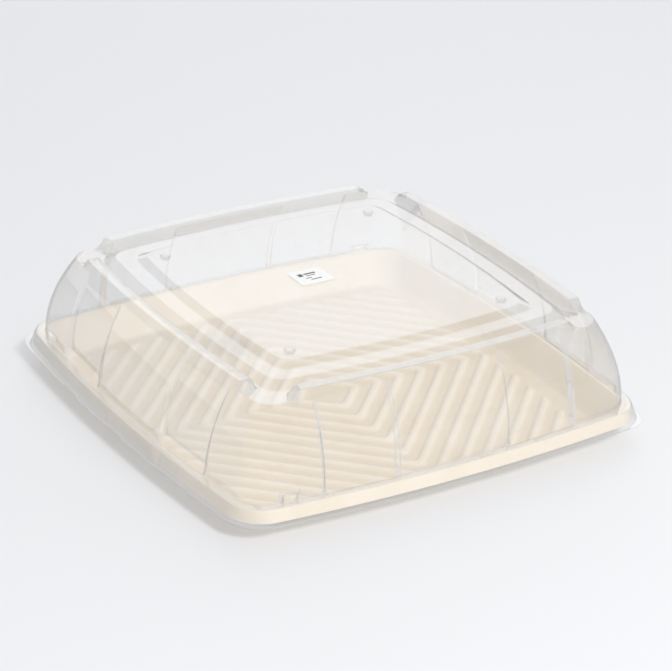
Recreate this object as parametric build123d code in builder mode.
"""Square catering platter: a ribbed moulded-fibre tray under a clear thermoformed dome lid.

Millimetres. +Z is up. The origin is the centre of the tray's underside, on the table.
"""
from build123d import *
import os

# Plan: every level is a square with bowed-out sides and rounded corners.
BOW_SHARE = 0.055         # how far a side bows out, as a share of its half-width

# Tray
FIBRE = 1.4               # moulded-fibre wall
RIM_INNER_HALF = 189.0    # inner edge of the flat rim, at mid-side
RIM_INNER_CORNER = 22.0
RIM_HEIGHT = 28.1         # top of the rim above the table
BASIN_LEAN = 16.5         # how far the basin's wall leans inward on its way down to the floor
FLOOR_CORNER = 26.0
RIM_WIDTH = 6.6           # flat of the rim
LIP_FLARE = 3.0           # how far the lip spreads outward on its way down
LIP_DROP = 10.0           # how far the lip hangs below the rim's top

# Ribs moulded into the floor: concentric diamonds, with bars across the corners
RIB_FIRST = 19.2          # centre of the floor to the first rib, square to the rib
RIB_PITCH = 15.84
RIB_WIDTH = 7.9
RIB_HEIGHT = 1.8
RIB_APEX = 10.0           # outer corner radius where a diamond turns
RIB_MARGIN = 10.0         # bare floor between the ribs' ends and the wall

# Dome lid
SHEET = 0.6               # clear sheet
RIM_GAP = 0.3             # the lid's clearance over the tray's rim
SKIRT_GAP = 0.5           # the skirt's clearance at the top of the lip
LUG_GAP = 0.5             # the lugs' clearance outside the lip
SKIRT_SPREAD = 0.8        # extra clearance at the skirt's foot, between the lugs
FLANGE_WIDTH = 1.6        # flat of the flange at mid-side, outside the skirt's foot
FLANGE_CORNER = 25.0
FLANGE_DROP = 12.3        # how far the flange's underside hangs below the rim's top
LUG_LENGTH = 30.0         # snap lugs along the skirt
LUG_SPACING = 81.0
LUGS_PER_SIDE = 3

WALL_LANDING = 0.6        # the wall's foot stands this far outside the rim's inner edge
WALL_FOOT_CORNER = 26.0
WALL_LEAN = 22.1          # how far the wall leans inward on its way up to the shoulder
SHOULDER_CORNER = 20.0
SHOULDER_RISE = 70.8      # wall height above the lid's cover over the rim
WALL_BULGE = 5.0          # how far the wall stands proud of a straight line
FLUTE_START = 51.4        # recessed wall panels, measured from the middle of a side
FLUTE_END = 117.5
FLUTE_FOOT_DEPTH = 4.6
FLUTE_HEAD_DEPTH = 1.0

BAR_RISE = 8.2            # four bars standing on the shoulder, one along each side
BAR_OUTER_SLOPE = 1.9     # how far a bar's outer face leans inward
BAR_FOOT_WIDTH = 15.5
BAR_INNER_SLOPE = 4.0     # how far a bar's inner face leans outward
BAR_INNER_CORNER = 18.0
BAR_REACH = 126.0         # end of a bar's top, from the middle of its side
BAR_END_SLOPE = 5.0       # how much longer a bar is at its foot
RING_GUTTER = 3.0         # flat between the bars' feet and the ring ledge
RING_SLOPE = 8.0          # how far the ring ledge's edge leans inward
RING_RISE = 5.0
RING_CORNER = 17.0
RING_WIDTH = 14.0         # flat of the ring ledge
DECK_SLOPE = 7.0          # how far the deck's edge leans inward
DECK_RISE = 3.8
DECK_CORNER = 13.0

PIP_MARGIN = 20.0         # small round stacking pips, in from the deck's edges
PIP_RADIUS = 4.2
PIP_HEIGHT = 1.8
STUD_LENGTH = 14.0        # stacking studs beside each corner, at the wall's foot
STUD_HEIGHT = 6.0
STUD_STANDOFF = 3.0
STUD_MARGIN = 42.6        # from the wall's foot on the next side to the stud's middle

# Label stuck on the deck
LABEL_WIDTH = 31.0
LABEL_DEPTH = 27.0
LABEL_THICKNESS = 0.2
LABEL_CORNER = 2.0
LABEL_CENTRE = (-13.6, 9.8)

WALL_STEPS = 4            # spans in the dome wall's curved profile
OVERLAP = 2.0             # how far joined forms run into each other
GROOVE_SHARE = 0.8        # how much of the fibre's thickness a rib's groove gives up each side

FLOOR_HALF = RIM_INNER_HALF - BASIN_LEAN
RIM_OUTER_HALF = RIM_INNER_HALF + RIM_WIDTH
RIM_OUTER_CORNER = RIM_INNER_CORNER + RIM_WIDTH
LIP_SLOPE = LIP_FLARE / LIP_DROP
LIP_FOOT_HALF = RIM_OUTER_HALF + LIP_FLARE
LIP_FOOT_CORNER = RIM_OUTER_CORNER + LIP_FLARE
LIP_FOOT = RIM_HEIGHT - LIP_DROP
RIB_GROOVE = RIB_WIDTH - 2 * FIBRE * GROOVE_SHARE

COVER_TOP = RIM_HEIGHT + RIM_GAP + SHEET
COVER_HALF = RIM_OUTER_HALF + SKIRT_GAP + SHEET
COVER_CORNER = RIM_OUTER_CORNER + SKIRT_GAP + SHEET
FLANGE_UNDER = RIM_HEIGHT - FLANGE_DROP
SKIRT_FLARE = LIP_SLOPE * (COVER_TOP - FLANGE_UNDER)
FLANGE_HALF = COVER_HALF + SKIRT_FLARE + SKIRT_SPREAD + FLANGE_WIDTH

WALL_FOOT_HALF = RIM_INNER_HALF + WALL_LANDING
SHOULDER_HALF = WALL_FOOT_HALF - WALL_LEAN
SHOULDER_TOP = COVER_TOP + SHOULDER_RISE
BAR_OUTER_HALF = SHOULDER_HALF - BAR_OUTER_SLOPE
BAR_INNER_FOOT = SHOULDER_HALF - BAR_FOOT_WIDTH
BAR_INNER_HALF = BAR_INNER_FOOT + BAR_INNER_SLOPE
BAR_TOP = SHOULDER_TOP + BAR_RISE
RING_FOOT_HALF = BAR_INNER_FOOT - RING_GUTTER
RING_HALF = RING_FOOT_HALF - RING_SLOPE
RING_TOP = SHOULDER_TOP + RING_RISE
DECK_FOOT_HALF = RING_HALF - RING_WIDTH
DECK_HALF = DECK_FOOT_HALF - DECK_SLOPE
DECK_TOP = RING_TOP + DECK_RISE
PIP_SPREAD = DECK_HALF - PIP_MARGIN
STUD_FROM_MIDDLE = WALL_FOOT_HALF - STUD_MARGIN
QUARTER_TURNS = (0, 90, 180, 270)


def section(half, corner, height):
    """Face of a square with bowed sides, at one height."""
    tip = half * (1 - BOW_SHARE)
    with BuildSketch(Plane.XY.offset(height)) as face:
        with BuildLine():
            ThreePointArc((tip, -tip), (half, 0), (tip, tip))
            ThreePointArc((tip, tip), (0, half), (-tip, tip))
            ThreePointArc((-tip, tip), (-half, 0), (-tip, -tip))
            ThreePointArc((-tip, -tip), (0, -half), (tip, -tip))
        make_face()
        fillet(face.vertices(), corner)
    return face.sketch


def stack(levels, smooth=False):
    """Solid through bowed squares, each given as (half, corner, height)."""
    with BuildPart() as body:
        for half, corner, height in levels:
            add(section(half, corner, height))
        loft(ruled=not smooth)
    return body.part


def side_blocks(starts_and_ends, reach, bottom, top):
    """Upright blocks across each side, between distances from the middle of the side."""
    with BuildPart() as blocks:
        with BuildSketch(Plane.XY.offset(bottom)):
            for start, end in starts_and_ends:
                for turn in QUARTER_TURNS:
                    middle = Vector((start + end) / 2, -reach / 2).rotate(Axis.Z, turn)
                    with Locations(Location(middle, (0, 0, turn))):
                        Rectangle(end - start, reach)
        extrude(amount=top - bottom)
    return blocks.part


def wall_levels(inset, recess_foot=0.0, recess_head=0.0):
    """Levels of the dome's wall, set in by the sheet and by a flute's depth."""
    levels = []
    for step in range(WALL_STEPS + 1):
        share = step / WALL_STEPS
        bulge = 4 * WALL_BULGE * share * (1 - share)
        recess = recess_foot + (recess_head - recess_foot) * share
        half = WALL_FOOT_HALF + (SHOULDER_HALF - WALL_FOOT_HALF) * share
        half += bulge - recess - inset
        corner = WALL_FOOT_CORNER + (SHOULDER_CORNER - WALL_FOOT_CORNER) * share - inset
        height = COVER_TOP - inset + SHOULDER_RISE * share
        levels.append((half, corner, height))
    return levels


def flute_space(inset):
    """What the recessed wall panels take from the dome's form."""
    spans = []
    for side in (-1, 1):
        ends = sorted((side * FLUTE_START, side * FLUTE_END))
        spans.append((ends[0] - inset, ends[1] + inset))
    blocks = side_blocks(spans, FLANGE_HALF, COVER_TOP - inset, SHOULDER_TOP + inset)
    levels = wall_levels(inset, FLUTE_FOOT_DEPTH, FLUTE_HEAD_DEPTH)
    half, corner, height = levels[-1]
    core = stack(levels, smooth=True)
    cap = stack([(half, corner, height), (half, corner, height + OVERLAP)])
    with BuildPart() as space:
        add(blocks)
        add(core, mode=Mode.SUBTRACT)
        add(cap, mode=Mode.SUBTRACT)
    return space.part


def bar_form(inset):
    """The four bars standing on the shoulder, with sloping sides and ends."""
    foot = SHOULDER_TOP - inset
    top = BAR_TOP - inset
    outside = stack([
        (SHOULDER_HALF - inset, SHOULDER_CORNER - inset, foot),
        (BAR_OUTER_HALF - inset, SHOULDER_CORNER - inset, top),
    ])
    inside = stack([
        (BAR_INNER_FOOT + inset, BAR_INNER_CORNER + inset, foot),
        (BAR_INNER_HALF + inset, BAR_INNER_CORNER + inset, top),
    ])
    reach = BAR_REACH - inset
    with BuildPart() as cross:
        for turn in (0, 90):
            with BuildPart(mode=Mode.PRIVATE) as beam:
                with BuildSketch(Plane.XY.offset(foot)):
                    Rectangle(2 * (reach + BAR_END_SLOPE), 2 * FLANGE_HALF, turn)
                with BuildSketch(Plane.XY.offset(top)):
                    Rectangle(2 * reach, 2 * FLANGE_HALF, turn)
                loft()
            add(beam.part)
    with BuildPart() as bars:
        add(outside)
        add(inside, mode=Mode.SUBTRACT)
        add(cross.part, mode=Mode.INTERSECT)
    return bars.part


def dome_form(inset):
    """Solid inside the dome's outer skin, or inside its inner skin when set in by the sheet."""
    foot = COVER_TOP - inset
    wall = stack(wall_levels(inset), smooth=True)
    root = stack([
        (WALL_FOOT_HALF - inset, WALL_FOOT_CORNER - inset, foot - OVERLAP),
        (WALL_FOOT_HALF - inset, WALL_FOOT_CORNER - inset, foot),
    ])
    ring = stack([
        (RING_FOOT_HALF - inset, RING_CORNER - inset, SHOULDER_TOP - inset),
        (RING_HALF - inset, RING_CORNER - inset, RING_TOP - inset),
    ])
    deck = stack([
        (DECK_FOOT_HALF - inset, DECK_CORNER - inset, RING_TOP - inset),
        (DECK_HALF - inset, DECK_CORNER - inset, DECK_TOP - inset),
    ])
    bars = bar_form(inset)
    flutes = flute_space(inset)
    with BuildPart() as form:
        add(root)
        add(wall)
        add(bars)
        add(ring)
        add(deck)
        add(flutes, mode=Mode.SUBTRACT)
        with BuildSketch(Plane.XY.offset(DECK_TOP - OVERLAP)):
            with GridLocations(2 * PIP_SPREAD, 2 * PIP_SPREAD, 2, 2):
                Circle(PIP_RADIUS - inset)
        extrude(amount=OVERLAP + PIP_HEIGHT - inset)
        stud_length = STUD_LENGTH - 2 * inset
        with BuildSketch(Plane.XY.offset(foot - OVERLAP)):
            for turn in QUARTER_TURNS:
                with Locations(stud_place(turn, inset)):
                    Rectangle(stud_length, STUD_LENGTH)
        extrude(amount=OVERLAP + STUD_HEIGHT)
    return form.part


def stud_place(turn, inset):
    """Place of one stacking stud, beside the corner that follows this quarter turn."""
    share = STUD_FROM_MIDDLE / (WALL_FOOT_HALF * (1 - BOW_SHARE))
    wall_line = WALL_FOOT_HALF * (1 - BOW_SHARE * share**2)
    outward = wall_line + STUD_STANDOFF - inset - STUD_LENGTH / 2
    return Location(Vector(-STUD_FROM_MIDDLE, -outward).rotate(Axis.Z, turn), (0, 0, turn))


def cover_form(inset):
    """Solid inside the lid's cover and skirt, which drop over the tray's rim and lip."""
    top = COVER_TOP - inset
    bottom = FLANGE_UNDER - (OVERLAP if inset else 0)
    head = COVER_HALF - inset
    head_corner = COVER_CORNER - inset
    spread = LIP_SLOPE * (top - bottom)
    loose = stack([
        (head + spread + SKIRT_SPREAD, head_corner + spread, bottom),
        (head, head_corner, top),
    ])
    snug = stack([
        (head + spread + LUG_GAP - SKIRT_GAP, head_corner + spread, bottom),
        (head + LUG_GAP - SKIRT_GAP, head_corner, top + OVERLAP),
    ])
    centres = [(i - (LUGS_PER_SIDE - 1) / 2) * LUG_SPACING for i in range(LUGS_PER_SIDE)]
    reach = LUG_LENGTH / 2 + inset
    spans = [(centre - reach, centre + reach) for centre in centres]
    blocks = side_blocks(spans, FLANGE_HALF + OVERLAP, bottom - OVERLAP, top + OVERLAP)
    with BuildPart() as lug_space:
        add(blocks)
        add(snug, mode=Mode.SUBTRACT)
    with BuildPart() as form:
        add(loose)
        add(lug_space.part, mode=Mode.SUBTRACT)
    return form.part


def rib_bands(width, bottom, height):
    """Diamond bands on the floor, kept clear of the wall."""
    edge = FLOOR_HALF - RIB_MARGIN + (width - RIB_WIDTH) / 2
    reach = (edge - FLOOR_CORNER) * (1 - BOW_SHARE) * 2**0.5
    count = int((reach + FLOOR_CORNER - RIB_FIRST) / RIB_PITCH) + 1
    with BuildPart() as bands:
        with BuildSketch(Plane.XY.offset(bottom)) as flat:
            for i in range(count):
                outer = RIB_FIRST + i * RIB_PITCH + width / 2
                with BuildSketch(mode=Mode.PRIVATE) as band:
                    RectangleRounded(2 * outer, 2 * outer, RIB_APEX, rotation=45)
                    Rectangle(2 * (outer - width), 2 * (outer - width), 45, mode=Mode.SUBTRACT)
                add(band.sketch)
            add(section(edge, FLOOR_CORNER - RIB_MARGIN, 0), mode=Mode.INTERSECT)
        extrude(amount=height)
    return bands.part


# Tray: basin with a ribbed floor, flat rim and flared lip
lip_outside = stack([
    (LIP_FOOT_HALF, LIP_FOOT_CORNER, LIP_FOOT),
    (RIM_OUTER_HALF, RIM_OUTER_CORNER, RIM_HEIGHT),
])
lip_inside = stack([
    (LIP_FOOT_HALF - FIBRE, LIP_FOOT_CORNER - FIBRE, LIP_FOOT - FIBRE),
    (RIM_OUTER_HALF - FIBRE, RIM_OUTER_CORNER - FIBRE, RIM_HEIGHT - FIBRE),
])
basin_outside = stack([
    (FLOOR_HALF + FIBRE / 2, FLOOR_CORNER + FIBRE / 2, 0),
    (RIM_INNER_HALF + FIBRE, RIM_INNER_CORNER + FIBRE, RIM_HEIGHT),
])
basin_inside = stack([
    (FLOOR_HALF, FLOOR_CORNER, FIBRE),
    (RIM_INNER_HALF, RIM_INNER_CORNER, RIM_HEIGHT),
])
rib_tops = rib_bands(RIB_WIDTH, FIBRE, RIB_HEIGHT)
rib_grooves = rib_bands(RIB_GROOVE, 0, RIB_HEIGHT)

with BuildPart() as tray:
    add(lip_outside)
    add(lip_inside, mode=Mode.SUBTRACT)
    add(basin_outside)
    add(basin_inside, mode=Mode.SUBTRACT)
    add(rib_tops)
    add(rib_grooves, mode=Mode.SUBTRACT)

# Dome lid: one clear sheet formed as dome, cover over the rim, skirt and flange
outer_dome = dome_form(0)
inner_dome = dome_form(SHEET)
outer_cover = cover_form(0)
inner_cover = cover_form(SHEET)
flange = section(FLANGE_HALF, FLANGE_CORNER, FLANGE_UNDER)

with BuildPart() as dome_lid:
    add(flange)
    extrude(amount=SHEET)
    add(outer_cover)
    add(outer_dome)
    add(inner_cover, mode=Mode.SUBTRACT)
    add(inner_dome, mode=Mode.SUBTRACT)

# Label on the deck
with BuildPart() as label_sticker:
    with BuildSketch(Plane.XY.offset(DECK_TOP)):
        with Locations(LABEL_CENTRE):
            RectangleRounded(LABEL_WIDTH, LABEL_DEPTH, LABEL_CORNER)
    extrude(amount=LABEL_THICKNESS)

tray.part.label = "tray"
dome_lid.part.label = "dome_lid"
label_sticker.part.label = "label_sticker"

os.makedirs("parts", exist_ok=True)
export_step(tray.part, "parts/tray.step")
export_step(dome_lid.part, "parts/dome_lid.step")
export_step(label_sticker.part, "parts/label_sticker.step")
